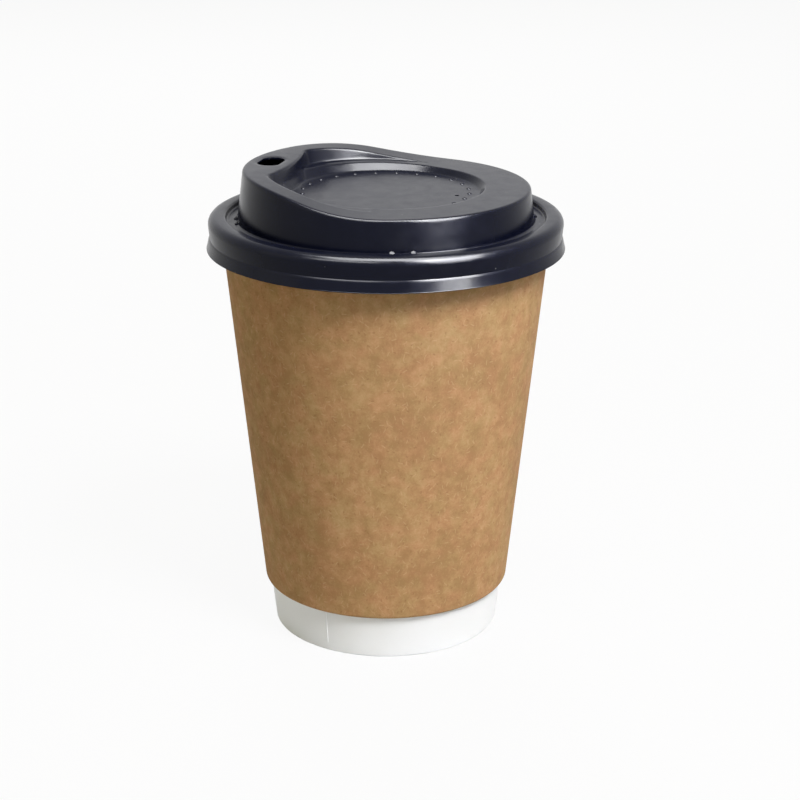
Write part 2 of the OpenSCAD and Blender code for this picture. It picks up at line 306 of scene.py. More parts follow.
def spread_evenly(path, count, cost):
    """count points along the path, spaced by what each stretch and the bend before it cost."""
    total = [0]
    for i, (a, b) in enumerate(zip(path, path[1:])):
        bend = (a - path[i - 1]).angle(b - a, 0) if i else 0
        total.append(total[-1] + cost(a, b) + bend * BEND_COST)
    placed, i = [], 0
    for k in range(count):
        wanted = total[-1] * k / (count - 1)
        while i < len(path) - 2 and total[i + 1] < wanted:
            i += 1
        span = total[i + 1] - total[i]
        placed.append(path[i].lerp(path[i + 1], (wanted - total[i]) / span if span else 0))
    return placed


# Form of the cup

def wall_lean(cup):
    """Lean of the white wall, which is tangent to the inside of the rim's roll."""
    to_roll = Vector((cup_high.x - cup.roll_r - cup.foot_r, cup_high.z - cup.roll_r))
    return math.atan2(to_roll.x, to_roll.y) - math.asin((cup.roll_r - cup.board_t) / to_roll.length)


def wall_line(cup):
    """Radius of the white wall's outer face, as a function of the height."""
    lean = wall_lean(cup)
    return lambda z: cup.foot_r + z * math.tan(lean)


def fold(cup):
    """Radius and middle of the fold under the foot."""
    lean = wall_lean(cup)
    radius = (2 * cup.board_t + cup.base_t + 2 * cup.glue_line) / 2
    low = radius - cup.foot_flat
    at = wall_line(cup)(low - radius * math.sin(lean)) - radius * math.cos(lean)
    return radius, Vector((at, low))


# Form of the lid

class LidForm:
    """The lid's visible face: one section for each direction, counted from the drinking side."""

    def __init__(self, lid):
        self.lid = lid
        self.gutter_z = lid.bead_top - lid.plug_r - lid.gutter_drop
        self.far_top = lid.bead_top + lid.far_rise
        self.sip_top = lid_high.z
        self.recess_z = self.far_top - lid.recess_depth
        self.recess_slope = math.tan(lid.recess_draft)
        self.ledge_foot_z = self.far_top + lid.shelf_rise
        self.dome_foot_r = lid.plug_at - lid.gutter_w
        self.ridge_r = self.dome_r(self.sip_top) - lid.ridge_w
        self.bow_at = lid.ledge_edge + lid.ledge_bow_r
        # Where the rim's section ends and the dome's begins
        dome_low = self.gutter_z + 3 * lid.dome_bend_r
        self.dome_start = Vector((self.dome_r(dome_low), dome_low))

    def place(self, radius, turn, z):
        """The point at a radius and a height, in a direction counted from the drinking side."""
        return Vector((*(radius * at_angle(turn + SIP_ANGLE)), z))

    def dome_r(self, z):
        """Radius of the dome's wall at a height."""
        return self.dome_foot_r - (z - self.gutter_z) * math.tan(self.lid.dome_draft)

    def top_z(self, t):
        """Height of the dome's top at a distance t towards the drinking side: two arcs joined halfway."""
        run = (self.lid.ramp_end + self.lid.ramp_start) / 2
        rise = (self.sip_top - self.far_top) / 2
        radius = (run * run + rise * rise) / (2 * rise)
        t = min(max(t + self.lid.ramp_start, 0), 2 * run)
        from_end = min(t, 2 * run - t)
        drop = radius - math.sqrt(radius * radius - from_end * from_end)
        return self.far_top + drop if t <= run else self.sip_top - drop

    def shelf_z(self, t):
        """Height of the shelf inside the ridge at a distance t towards the drinking side."""
        along = (t + self.lid.ramp_start) / (self.lid.ledge_edge + self.lid.ramp_start)
        return self.far_top + self.lid.shelf_rise * min(max(along, 0), 1)

    def recess_wall_r(self, z):
        """Radius of the recess's sloping wall at a height."""
        return self.lid.recess_r + (z - self.recess_z) * self.recess_slope

    def bow_r(self, z):
        """Radius that the ledge's wall bows to at a height, above or below its foot."""
        lid = self.lid
        upper = lid.ledge_bow_r + (self.sip_top - max(z, self.ledge_foot_z)) * math.tan(lid.ledge_draft)
        return upper + max(self.ledge_foot_z - z, 0) * math.tan(lid.ledge_foot_draft)

    def ledge_r(self, turn, z):
        """Distance along a direction to the ledge's wall, or None where that direction misses it."""
        reach = self.bow_at * math.cos(turn)
        inside = reach * reach - self.bow_at ** 2 + self.bow_r(z) ** 2
        return reach - math.sqrt(inside) if reach > 0 and inside > 0 else None

    def wall_r(self, turn, z):
        """Distance to the pocket's wall at a height: the ridge's or the ledge's, blended where they meet."""
        ridge = self.ridge_r - (self.sip_top - z) * math.tan(self.lid.ridge_draft)
        ledge = self.ledge_r(turn, z)
        if ledge is None:
            return ridge
        near = max(self.lid.blend_w - abs(ridge - ledge), 0) / self.lid.blend_w
        return min(ridge, ledge) - near * near * self.lid.blend_w / 4

    def settle(self, radius_at, z_at, turn, z):
        """The point where a wall meets a surface, each given by a function."""
        for _ in range(SETTLE_ROUNDS):
            r = radius_at(z)
            z = z_at(r * math.cos(turn))
        return Vector((r, z))

    def rim_section(self):
        """The part that is the same all round: lip, neck, bead, plug, gutter and the dome's foot."""
        lid = self.lid
        lip_r = lid_high.x - lid.lip_turn
        lip_top = Vector((lip_r - lid.lip_h * math.tan(lid.lip_lean), lid_low.z + lid.lip_h))
        shoulder_at = lip_top - lid.shoulder_r * at_angle(lid.lip_lean)
        shoulder_turn = math.acos((lid.neck_r - shoulder_at.x) / lid.shoulder_r)
        *shoulder, neck = arc(shoulder_at, lid.shoulder_r, lid.lip_lean, shoulder_turn, steps=10)
        swell_r, swell_z = lid.neck_r + lid.bead_swell, lid.bead_top - lid.bead_r
        slope = (swell_r - neck.x) / (swell_z - neck.y)
        path = rounded([
            (Vector((lid_high.x, lid_low.z)), 0),
            (Vector((lid_high.x, lid_low.z + lid.edge_r)), lid.edge_r),
            (Vector((lip_r, lid_low.z + lid.edge_r + lid.lip_turn)), lid.lip_turn_r),
            *[(point, 0) for point in shoulder],
            (neck, lid.neck_bend_r),
            (Vector((swell_r + slope * lid.bead_r, lid.bead_top)), lid.bead_r),
            (Vector((lid.plug_at, lid.bead_top)), lid.plug_r),
            (Vector((lid.plug_at, self.gutter_z)), lid.gutter_bend_r),
            (Vector((self.dome_foot_r, self.gutter_z)), lid.dome_bend_r),
            (self.dome_start, 0),
        ], steps=5)
        gutter = next(i for i, point in enumerate(path) if point.x < lid.plug_at - TINY / 2)
        return path[:gutter] + divided(path[gutter:], LUG_STRETCH)

    def dome_section(self, turn):
        """The part that changes round the lid: dome, ridge, pocket, shelf and recess."""
        lid = self.lid

        def pocket_r(z):
            return self.wall_r(turn, z)
        brow = self.settle(self.dome_r, self.top_z, turn, self.far_top)
        crest = self.settle(pocket_r, self.top_z, turn, self.far_top)
        floor_edge = Vector((lid.recess_r, self.recess_z))
        corners = [(self.dome_start, 0), (brow, lid.brow_r), *self.ramp_between(brow, crest, turn)]
        if crest.y - self.shelf_z(crest.x * math.cos(turn)) > TINY:
            # The pocket has a wall here, which ends on the shelf, the recess's slope or its floor
            wall_foot = self.settle(pocket_r, self.shelf_z, turn, crest.y)
            shelf_edge = self.settle(self.recess_wall_r, self.shelf_z, turn, crest.y)
            ledge_on_floor = self.ledge_r(turn, self.recess_z)
            corners += [(crest, lid.crest_r), (wall_foot, lid.crease_r)]
            if shelf_edge.x < wall_foot.x - TINY:
                corners.append((shelf_edge, lid.crease_r))
            elif ledge_on_floor is not None and ledge_on_floor < floor_edge.x:
                floor_edge = Vector((ledge_on_floor, self.recess_z))
            else:
                meet = self.settle(
                    lambda z: self.ledge_r(turn, z) or wall_foot.x,
                    lambda t: self.recess_z + (t / math.cos(turn) - lid.recess_r) / self.recess_slope,
                    turn, self.ledge_foot_z)
                corners.append((meet, lid.crease_r))
        else:
            recess_edge = self.settle(self.recess_wall_r, self.top_z, turn, self.far_top)
            corners.append((recess_edge, lid.crest_r))
        corners += [(floor_edge, lid.crease_r), (Vector((0, self.recess_z)), 0)]
        return spread_evenly(rounded(corners, steps=6), DOME_POINTS, self.cost)

    def ramp_between(self, brow, crest, turn):
        """Corners along the ridge's top, which is curved where it climbs."""
        radii = heights(brow.x, crest.x, 5)[1:-1]
        return [(Vector((r, self.top_z(r * math.cos(turn)))), 0) for r in radii]

    def cost(self, a, b):
        """Length of a stretch, counted less on the recess's plain floor."""
        return (b - a).length * (FLOOR_COST if (a.x + b.x) / 2 < self.lid.dot_at else 1)

    def dot_turns(self):
        """Directions of the dots."""
        return [math.tau * (i + 0.5) / self.lid.dot_count for i in range(self.lid.dot_count)]

    def lug_turns(self):
        """Directions of the lugs."""
        lid = self.lid
        return [lid.lug_angle - SIP_ANGLE + math.tau * i / lid.lug_pairs + side * lid.lug_spread
                for i in range(lid.lug_pairs) for side in (-0.5, 0.5)]

    def section_turns(self):
        """Directions of the sections, which lie closer together at the lugs."""
        half = LUG_REACH * self.lid.lug_r / self.lid.lug_at
        step = math.tau / LID_STEPS
        lugs = self.lug_turns()

        def clear(turn):
            return all(abs((turn - lug + math.pi) % math.tau - math.pi) > half + step / 3 for lug in lugs)
        turns = [i * step for i in range(LID_STEPS) if clear(i * step)]
        turns += [(lug + half * i / LUG_STEPS) % math.tau
                  for lug in lugs for i in range(-LUG_STEPS, LUG_STEPS + 1)]
        return sorted(turns)


# Meshes

def add_object(name, bm):
    """A new object in the scene, made from a bmesh."""
    mesh = bpy.data.meshes.new(name)
    bm.to_mesh(mesh)
    bm.free()
    made = bpy.data.objects.new(name, mesh)
    bpy.context.scene.collection.objects.link(made)
    return made


def shade(bm):
    """Shades the faces smooth, with creases where they meet sharply."""
    for face in bm.faces:
        face.smooth = True
    for edge in bm.edges:
        edge.smooth = not edge.is_manifold or edge.calc_face_angle() < CREASE


def finish_mesh(name, bm, material, body, nodes=()):
    """Turns a bmesh into a piece that rides on a body and stands for its CAD nodes."""
    bmesh.ops.recalc_face_normals(bm, faces=bm.faces)
    shade(bm)
    piece = add_object(name, bm)
    piece.data.materials.append(material)
    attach(piece, body)
    if nodes:
        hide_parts(*nodes)
    return piece


def apply_modifiers(piece):
    """Replaces a piece's mesh by the one that its modifiers give, shaded again."""
    bpy.context.view_layer.update()
    shown = piece.evaluated_get(bpy.context.evaluated_depsgraph_get())
    mesh = bpy.data.meshes.new_from_object(shown)
    piece.modifiers.clear()
    piece.data = mesh
    bm = bmesh.new()
    bm.from_mesh(mesh)
    shade(bm)
    bm.to_mesh(mesh)
    bm.free()


def cutter_from(bm, low, high):
    """A prism from a flat outline, to cut with."""
    bmesh.ops.translate(bm, verts=bm.verts, vec=(0, 0, low))
    grown = bmesh.ops.extrude_face_region(bm, geom=bm.faces[:])
    bmesh.ops.translate(bm, verts=[part for part in grown["geom"] if isinstance(part, bmesh.types.BMVert)],
                        vec=(0, 0, high - low))
    bmesh.ops.recalc_face_normals(bm, faces=bm.faces)
    return add_object("cutter", bm)


def revolved(section):
    """A bmesh of a closed section turned about Z."""
    bm = bmesh.new()
    verts = [bm.verts.new((point.x, 0, point.y)) for point in section]
    edges = [bm.edges.new(pair) for pair in zip(verts, verts[1:] + verts[:1])]
    bmesh.ops.spin(bm, geom=verts + edges, cent=(0, 0, 0), axis=(0, 0, 1), dvec=(0, 0, 0), angle=math.tau,
                   steps=TURN_STEPS, use_merge=True, use_normal_flip=False, use_duplicate=False)
    bmesh.ops.remove_doubles(bm, verts=bm.verts, dist=MERGE)
    return bm


def raise_lap(bm, width, radius, angle, step, low, high):
    """Lifts a glued lap out of a revolved wall: a crisp cut edge on one side, a soft slope on the other."""
    half = width / radius / 2
    tick = math.tau / TURN_STEPS
    edge = round((angle + half) / tick) * tick
    for vert in bm.verts:
        if not low < vert.co.z < high:
            continue
        turn = (math.atan2(vert.co.y, vert.co.x) - edge + math.pi) % math.tau - math.pi
        if turn > tick / 2 or turn < -3 * half:
            continue
        lift = 1 if turn > -2 * half else 3 + turn / half
        lift = lift * lift * (3 - 2 * lift)
        away = step * lift * min(1, (vert.co.z - low) / LAP_RISE)
        flat = Vector((vert.co.x, vert.co.y, 0)).normalized()
        if abs(turn) < tick / 2:
            # The lap's last column goes nearly to the next one, so that the cut edge is steep
            flat = Matrix.Rotation(0.96 * tick, 3, "Z") @ flat
        vert.co = flat * (vert.co.xy.length + away) + Vector((0, 0, vert.co.z))


def lay_out(bm):
    """UV map in metres: round the cup, and up it."""
    uv = bm.loops.layers.uv.new("board")
    for face in bm.faces:
        middle = face.calc_center_median()
        centre = math.atan2(middle.y, middle.x)
        for loop in face.loops:
            co = loop.vert.co
            turn = math.atan2(co.y, co.x)
            turn += math.tau * round((centre - turn) / math.tau)
            loop[uv].uv = (turn * wrap_high.x, co.z)


# Node trees

def fill_inputs(tree, node, inputs):
    """Sets a node's inputs to values, or links them to sockets."""
    for name, value in inputs.items():
        if isinstance(value, bpy.types.NodeSocket):
            tree.links.new(value, node.inputs[name])
        else:
            node.inputs[name].default_value = value


def add_node(tree, kind, inputs=None, **settings):
    """A node with its settings and its inputs."""
    made = tree.nodes.new(kind)
    for key, value in settings.items():
        setattr(made, key, value)
    fill_inputs(tree, made, inputs or {})
    return made


def calculate(tree, operation, *values, clamp=False):
    """Output of a Math node."""
    made = add_node(tree, "ShaderNodeMath", dict(enumerate(values)), operation=operation, use_clamp=clamp)
    return made.outputs[0]


def calculate_vectors(tree, operation, first, second):
    """Output of a Vector Math node, whose second value is a number only where it scales."""
    inputs = {0: first, "Scale" if operation == "SCALE" else 1: second}
    return add_node(tree, "ShaderNodeVectorMath", inputs, operation=operation).outputs[0]


def weighted_sum(tree, *terms):
    """Sum of terms, each (value, weight)."""
    total, *others = [calculate(tree, "MULTIPLY", value, weight) for value, weight in terms]
    for other in others:
        total = calculate(tree, "ADD", total, other)
    return total


def remap(tree, value, from_low=0.0, from_high=1.0, to_low=0.0, to_high=1.0, ease="LINEAR"):
    """Output of a Map Range node, from one range to another."""
    inputs = dict(enumerate((value, from_low, from_high, to_low, to_high)))
    return add_node(tree, "ShaderNodeMapRange", inputs, interpolation_type=ease).outputs[0]


def fade(tree, value, full, none):
    """1 at full, 0 at none, smooth between."""
    return remap(tree, value, full, none, 1.0, 0.0, ease="SMOOTHSTEP")


def blend_colours(tree, amount, first, second):
    """Output of a colour Mix node, from first to second. Its colour sockets are inputs 6 and 7, output 2."""
    inputs = {0: amount, 6: first, 7: second}
    return add_node(tree, "ShaderNodeMix", inputs, data_type="RGBA", clamp_factor=True).outputs[2]


def grain(tree, place, scale, detail=2.0, roughness=0.5):
    """Noise from 0 to 1."""
    noise = add_node(tree, "ShaderNodeTexNoise",
                     {"Vector": place, "Scale": scale, "Detail": detail, "Roughness": roughness})
    return noise.outputs[0]


def fibres(tree, place, cell, reach, width, bend, kept, seed):
    """Short fibres scattered over a UV map, one to a cell, each at its own angle.

    reach and width are half a fibre's length and thickness in cells, and kept is the share of cells with one.
    """
    scaled = calculate_vectors(tree, "SCALE", place, 1 / cell)
    moved = calculate_vectors(tree, "ADD", scaled, (seed, seed * 1.7, 0))
    cells = add_node(tree, "ShaderNodeTexVoronoi", {"Vector": moved, "Scale": 1.0, "Randomness": 0.85},
                     voronoi_dimensions="2D").outputs
    spin, curl, presence = add_node(tree, "ShaderNodeSeparateColor", {0: cells["Color"]}).outputs
    local = calculate_vectors(tree, "SUBTRACT", moved, cells["Position"])
    turned = add_node(tree, "ShaderNodeVectorRotate",
                      {"Vector": local, "Angle": calculate(tree, "MULTIPLY", spin, math.tau)},
                      rotation_type="Z_AXIS").outputs[0]
    along, across, _ = add_node(tree, "ShaderNodeSeparateXYZ", {0: turned}).outputs
    bow = calculate(tree, "MULTIPLY", calculate(tree, "SUBTRACT", curl, 0.5), bend)
    bow = calculate(tree, "MULTIPLY", calculate(tree, "MULTIPLY", along, along), bow)
    off_line = calculate(tree, "ABSOLUTE", calculate(tree, "ADD", across, bow))
    from_middle = calculate(tree, "ABSOLUTE", along)
    line = calculate(tree, "MULTIPLY", fade(tree, off_line, width * 0.3, width),
                     fade(tree, from_middle, reach * 0.6, reach))
    return calculate(tree, "MULTIPLY", line, calculate(tree, "LESS_THAN", presence, kept))


def bump(tree, height, depth, strength):
    """Normal from a height from 0 to 1 over a depth in metres."""
    inputs = {"Height": height, "Distance": depth, "Strength": strength}
    return add_node(tree, "ShaderNodeBump", inputs).outputs[0]


def new_material(name):
    """A new material, its tree and its Principled shader."""
    material = bpy.data.materials.new(name)
    material.use_nodes = True
    tree = material.node_tree
    return material, tree, tree.nodes["Principled BSDF"]


def kraft_board(looks):
    """Brown board: mottled pulp with light fibres, dark specks and a matt surface."""
    material, tree, shader = new_material("kraft_board")
    place = add_node(tree, "ShaderNodeTexCoord").outputs["Object"]
    flat = add_node(tree, "ShaderNodeUVMap", uv_map="board").outputs[0]
    cloud = grain(tree, place, 70, 3, 0.55)
    mottle = grain(tree, place, 320, 4, 0.65)
    fine = grain(tree, place, 1900, 3, 0.6)
    tone = weighted_sum(tree, (cloud, 0.45), (mottle, 0.72), (fine, 0.28))
    pulp = add_node(tree, "ShaderNodeValToRGB", {0: remap(tree, tone, 0.6, 0.9)})
    dark, middle, light = Vector(looks.kraft_dark), Vector(looks.kraft), Vector(looks.kraft_light)
    ramp = pulp.color_ramp.elements
    ramp[0].color = (*dark.lerp(middle, 0.62), 1)
    ramp[1].color = (*middle.lerp(light, 0.42), 1)
    ramp.new(0.5).color = (*middle, 1)
    redder, greener = (1.03, 0.97, 0.98, 1), (0.96, 1.02, 0.96, 1)
    patches = blend_colours(tree, remap(tree, grain(tree, place, 190), 0.35, 0.65), redder, greener)
    surface = calculate_vectors(tree, "MULTIPLY", patches, pulp.outputs[0])
    pale = fibres(tree, flat, cell=2.1 * MM, reach=0.38, width=0.1, bend=1.2, kept=0.4, seed=3.1)
    short = fibres(tree, flat, cell=1.0 * MM, reach=0.32, width=0.13, bend=1.0, kept=0.42, seed=7.7)
    specks = fibres(tree, flat, cell=2.6 * MM, reach=0.17, width=0.1, bend=0.6, kept=0.4, seed=12.9)
    for marks, strength, tint in ((short, 0.2, light), (pale, 0.38, light), (specks, 0.42, dark)):
        surface = blend_colours(tree, calculate(tree, "MULTIPLY", marks, strength), surface, (*tint, 1))
    height = weighted_sum(tree, (fine, 0.6), (pale, 0.12), (mottle, 0.5))
    fill_inputs(tree, shader, {
        "Base Color": surface, "Roughness": remap(tree, fine, to_low=0.72, to_high=0.9),
        "Normal": bump(tree, height, depth=0.05 * MM, strength=0.8), "Specular IOR Level": looks.kraft_gloss})
    return material


def white_board(looks, name, warmer):
    """White board under a thin plastic coating: faint fibres and a soft sheen."""
    material, tree, shader = new_material(name)
    place = add_node(tree, "ShaderNodeTexCoord").outputs["Object"]
    cloud = grain(tree, place, 110, 3, 0.5)
    fine = grain(tree, place, 1500, 3, 0.6)
    warmth = calculate(tree, "MULTIPLY", calculate(tree, "ADD", cloud, warmer), 0.5, clamp=True)
    surface = blend_colours(tree, warmth, (*looks.white, 1), (*looks.white_warm, 1))
    height = weighted_sum(tree, (fine, 0.5), (cloud, 1.0))
    fill_inputs(tree, shader, {
        "Base Color": surface, "Roughness": remap(tree, fine, to_low=0.34, to_high=0.46),
        "Normal": bump(tree, height, depth=0.03 * MM, strength=0.6), "Specular IOR Level": looks.white_gloss})
    return material


def lid_plastic(looks):
    """Blue-black glossy sheet: slightly uneven from forming, with a few specks of dust."""
    material, tree, shader = new_material("lid_plastic")
    place = add_node(tree, "ShaderNodeTexCoord").outputs["Object"]
    wave = grain(tree, place, 90, 2, 0.4)
    haze = grain(tree, place, 260, 3, 0.6)
    fine = grain(tree, place, 2600, 2, 0.5)
    cells = add_node(tree, "ShaderNodeTexVoronoi", {"Vector": place, "Scale": 170.0}).outputs
    specks = calculate(tree, "MULTIPLY", fade(tree, cells["Distance"], 0.02, 0.05), 0.25)
    surface = blend_colours(tree, specks, (*looks.plastic, 1), (*looks.dust, 1))
    rough = remap(tree, haze, 0.3, 0.7, looks.plastic_rough * 0.85, looks.plastic_rough * 1.25)
    height = weighted_sum(tree, (wave, 1.0), (fine, 0.04))
    fill_inputs(tree, shader, {
        "Base Color": surface, "Roughness": rough, "Specular IOR Level": looks.plastic_gloss,
        "Normal": bump(tree, height, depth=0.06 * MM, strength=0.5)})
    return material


# Operators

class CUP_OT_inner_cup(bpy.types.Operator):
    """Makes the white cup with its rolled rim, its folded foot and its glued lap"""
    bl_idname = "cup.inner_cup"
    bl_label = "Inner cup"

    def execute(self, context):
        cup = context.scene.cup_sizes
        white, lean = wall_line(cup), wall_lean(cup)
        fold_r, fold_at = fold(cup)
        roll_at = Vector((cup_high.x - cup.roll_r, cup_high.z - cup.roll_r))
        flap_top = base_high.z - cup.base_t - cup.base_bend_r - cup.glue_line
        flap_foot = fold_at + fold_r * Vector((-math.cos(lean), math.sin(lean)))
        flap = flap_foot + (flap_top - fold_at.y) * Vector((math.tan(lean), 1))
        wall_foot, wall_head = fold_at.y + WALL_FROM_BEND, roll_at.y - WALL_FROM_BEND
        roll_start = math.pi - lean
        path = [flap, *arc(fold_at, fold_r, math.pi - lean, math.tau - lean, steps=20)]
        path += [Vector((white(z), z)) for z in heights(wall_foot, wall_head, WALL_STEPS)]
        path += arc(roll_at, cup.roll_r - cup.board_t, roll_start, roll_start - cup.roll_turn, steps=40)
        bm = revolved(sheet(path, cup.board_t))
        for vert in bm.verts:
            vert.co.z = max(vert.co.z, cup_low.z)
        raise_lap(bm, cup.cup_lap_w, cup.foot_r, cup.cup_lap_angle, cup.cup_lap_step, 2 * fold_r, wall_head)
        lay_out(bm)
        material = white_board(context.scene.finishes, "white_board", warmer=0.0)
        finish_mesh("white_cup", bm, material, "cup", ["inner_cup"])
        return {"FINISHED"}


class CUP_OT_base_disc(bpy.types.Operator):
    """Makes the base with its edge turned down into the foot"""
    bl_idname = "cup.base_disc"
    bl_label = "Base disc"

    def execute(self, context):
        cup = context.scene.cup_sizes
        white, lean = wall_line(cup), wall_lean(cup)
        _, fold_at = fold(cup)
        skirt_foot = fold_at.y + cup.skirt_clear

        def skirt_r(z):
            return white(z) - (cup.board_t + cup.glue_line) / math.cos(lean)
        top, bend = base_high.z, cup.base_bend_r
        bend_at = Vector((skirt_r(top - bend * (1 + math.sin(lean))) - bend * math.cos(lean), top - bend))
        path = [Vector((skirt_r(skirt_foot), skirt_foot)), *arc(bend_at, bend, -lean, math.pi / 2, steps=10)]
        path += [Vector((r, top)) for r in heights(bend_at.x - WALL_FROM_BEND, 0, 8)]
        bm = revolved(sheet(path, cup.base_t))
        lay_out(bm)
        material = white_board(context.scene.finishes, "base_board", warmer=0.6)
        finish_mesh("base", bm, material, "cup", ["base_disc"])
        return {"FINISHED"}


class CUP_OT_outer_wrap(bpy.types.Operator):
    """Makes the brown outer wall with its curled bottom edge and its glued lap"""
    bl_idname = "cup.outer_wrap"
    bl_label = "Outer wrap"

    def execute(self, context):
        cup = context.scene.cup_sizes
        white = wall_line(cup)
        bottom, top = wrap_low.z, wrap_high.z
        inside_low, inside_high = white(bottom) + cup.gap_bottom, white(top) + cup.gap_top
        lean = math.atan2(inside_high - inside_low, top - bottom)
        curl_r = cup.gap_bottom + cup.wrap_t - cup.cup_lap_step - cup.glue_line

        def face_r(z):
            return inside_low + cup.wrap_t / math.cos(lean) + (z - bottom) * math.tan(lean)
        meets = bottom + curl_r * (1 - math.sin(lean))
        curl_at = Vector((face_r(meets) - curl_r * math.cos(lean), bottom + curl_r))
        path = arc(curl_at, curl_r, -math.pi / 2, -lean, steps=14)
        path += [Vector((face_r(z), z)) for z in heights(curl_at.y + WALL_FROM_BEND, top, WALL_STEPS)]
        bm = revolved(sheet(path, cup.wrap_t))
        raise_lap(bm, cup.wrap_lap_w, face_r(bottom), cup.wrap_lap_angle, cup.wrap_lap_step,
                  bottom + curl_r, top + MM)
        for vert in bm.verts:
            vert.co.z = min(vert.co.z, top)
        lay_out(bm)
        material = kraft_board(context.scene.finishes)
        finish_mesh("kraft_wrap", bm, material, "cup", ["outer_wrap"])
        return {"FINISHED"}


class CUP_OT_lid(bpy.types.Operator):
    """Makes the lid as one formed sheet, with its drinking hole and its vent"""
    bl_idname = "cup.lid"
    bl_label = "Lid"

    def execute(self, context):
        form = LidForm(context.scene.lid_sizes)
        bm = self.skin(form)
        self.press_lugs(bm, form)
        self.dip_round_hole(bm, form)
        plastic = lid_plastic(context.scene.finishes)
        piece = finish_mesh("lid_shell", bm, plastic, "lid", ["lid"])
        finish_mesh("lid_dots", self.dots(form), plastic, "lid")
        thicken = piece.modifiers.new("sheet", "SOLIDIFY")
        thicken.thickness = form.lid.sheet_t
        thicken.offset = -1
        thicken.use_even_offset = True
        cutters = [self.slot_cutter(form), self.vent_cutter(form)]
        for cutter in cutters:
            cut = piece.modifiers.new("hole", "BOOLEAN")
            cut.object = cutter
            cut.operation = "DIFFERENCE"
            cut.solver = "EXACT"
        apply_modifiers(piece)
        for cutter in cutters:
            bpy.data.objects.remove(cutter)
        return {"FINISHED"}

    def skin(self, form):
        """A grid whose columns run from the lip to the axis, wrapped round the axis."""
        rim = form.rim_section()
        turns = form.section_turns()
        sections = [rim[:-1] + form.dome_section(turn) for turn in turns]
        columns, rows = len(sections[0]), len(turns)
        bm = bmesh.new()
        bmesh.ops.create_grid(bm, x_segments=columns - 1, y_segments=rows, size=0.5)
        for vert in bm.verts:
            column = round((vert.co.x + 0.5) * (columns - 1))
            row = round((vert.co.y + 0.5) * rows) % rows
            point = sections[row][column]
            vert.co = form.place(point.x, turns[row], point.y)
        bmesh.ops.remove_doubles(bm, verts=bm.verts, dist=MERGE)
        return bm

    def press_lugs(self, bm, form):
        """Pushes the skin out of each lug's sphere."""
        lid = form.lid
        for turn in form.lug_turns():
            centre = form.place(lid.lug_at, turn, form.gutter_z + lid.lug_rise)
            for vert in bm.verts:
                away = vert.co - centre
                if away.length < lid.lug_r:
                    vert.co = centre + away.normalized() * lid.lug_r

    def dots(self, form):
        """Low domes in a ring on the recess's floor."""
        lid = form.lid
        bm = bmesh.new()
        for turn in form.dot_turns():
            place = Matrix.Translation(form.place(lid.dot_at, turn, form.recess_z + lid.dot_h - lid.dot_r))
            bmesh.ops.create_uvsphere(bm, u_segments=24, v_segments=24, radius=lid.dot_r, matrix=place)
        bmesh.ops.bisect_plane(bm, geom=bm.verts[:] + bm.edges[:] + bm.faces[:], clear_inner=True,
                               plane_co=(0, 0, form.recess_z - lid.sheet_t / 2), plane_no=(0, 0, 1))
        bmesh.ops.holes_fill(bm, edges=[edge for edge in bm.edges if edge.is_boundary], sides=0)
        return bm

    def dip_round_hole(self, bm, form):
        """Turns the sheet down a little at the drinking hole's edge."""
        lid = form.lid
        half = (lid.sip_l - lid.sip_w) / 2
        for vert in bm.verts:
            if vert.co.z < form.sip_top - MM:
                continue
            x = max(abs(vert.co.x) - half, 0)
            outside = math.hypot(x, vert.co.y + lid.sip_at) - lid.sip_w / 2
            near = min(max(1 - outside / lid.sip_dip_w, 0), 1)
            vert.co.z -= lid.sip_dip * near * near

    def slot_cutter(self, form):
        """A slot with round ends, where the drinking hole goes."""
        lid = form.lid
        bm = bmesh.new()
        bmesh.ops.create_circle(bm, segments=64, radius=lid.sip_w / 2, cap_ends=True)
        for vert in bm.verts:
            vert.co.x += math.copysign((lid.sip_l - lid.sip_w) / 2, vert.co.x)
            vert.co.y -= lid.sip_at
        return cutter_from(bm, form.ledge_foot_z, form.sip_top + MM)

    def vent_cutter(self, form):
        """A round hole in the recess's floor."""
        bm = bmesh.new()
        bmesh.ops.create_circle(bm, segments=32, radius=form.lid.vent_r, cap_ends=True)
        bmesh.ops.translate(bm, verts=bm.verts, vec=(0, form.lid.vent_at, 0))
        return cutter_from(bm, form.recess_z - MM, form.recess_z + MM)


